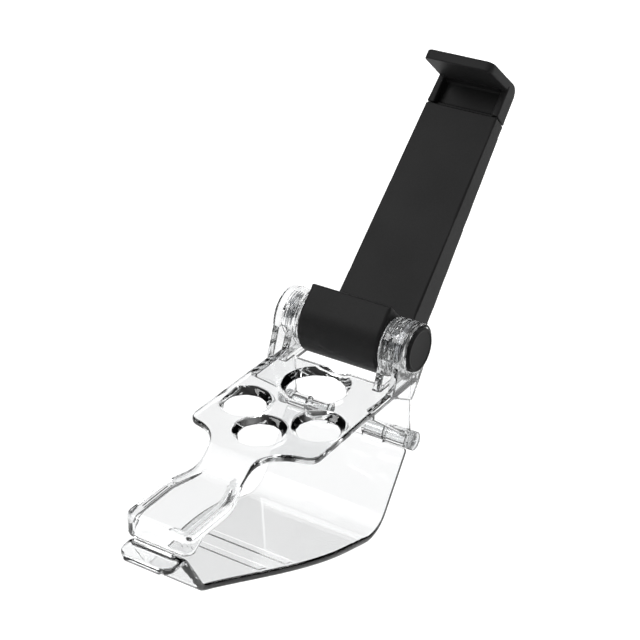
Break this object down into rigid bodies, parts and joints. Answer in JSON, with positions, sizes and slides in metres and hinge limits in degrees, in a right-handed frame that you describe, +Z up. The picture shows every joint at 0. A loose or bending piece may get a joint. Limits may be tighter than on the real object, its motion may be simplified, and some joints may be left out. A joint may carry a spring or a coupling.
{
  "type": "controller phone clip",
  "caption": "Clear clamp for a game controller with a black telescopic phone arm on a lockable tilting hinge.",
  "frame": {"origin": "underside of the clear top plate, midway between its left and right finger holes", "axes": "+X to the clip's right as a player sees it, +Y back towards the phone, +Z up from the controller"},
  "size_m": [0.0432, 0.1613, 0.1096],
  "materials": {
    "clear_plastic": "clear polished polycarbonate",
    "black_plastic": "black with a very fine matte grain",
    "knob_plastic": "black, satin",
    "steel": "zinc-plated steel"
  },
  "bodies": {
    "top": {"top_plate": "clear_plastic", "hinge_pin_left": "clear_plastic", "hinge_pin_right": "clear_plastic", "detent_disc_left": "clear_plastic", "detent_disc_right": "clear_plastic", "lock_nut": "steel", "knob_washer": "steel", "disc_spring": "steel"},
    "shell": {"bottom_shell": "clear_plastic"},
    "arm": {"arm_body": "black_plastic", "arm_cover": "black_plastic", "spring_left": "steel", "spring_right": "steel", "spring_pin_left": "steel", "spring_pin_right": "steel", "stop_screw": "steel", "cover_screw_left": "steel", "cover_screw_right": "steel", "pivot_bushing": "steel"},
    "head": {"slider_head": "black_plastic"},
    "knob": {"knob": "knob_plastic", "clamp_screw": "steel"}
  },
  "joints": [
    {"name": "arm_tilt", "type": "hinge", "parent": "top", "child": "arm", "pos_m": [0, 0.0352, 0.01], "axis": [1, 0, 0], "range_deg": [-40, 130]},
    {"name": "head_slide", "type": "slide", "parent": "arm", "child": "head", "axis": [0, 0.729, 0.6845], "range_m": [0, 0.016], "stiffness_N_per_m": 120, "springref_m": -0.02, "deforming": ["spring_left", "spring_right"]},
    {"name": "knob_turn", "type": "hinge", "parent": "top", "child": "knob", "pos_m": [0.02, 0.0352, 0.01], "axis": [1, 0, 0], "range_deg": [-360, 360]},
    {"name": "shell_hinge", "type": "hinge", "parent": "top", "child": "shell", "pos_m": [0, 0.0325, -0.0168], "axis": [1, 0, 0], "range_deg": [0, 95]}
  ]
}
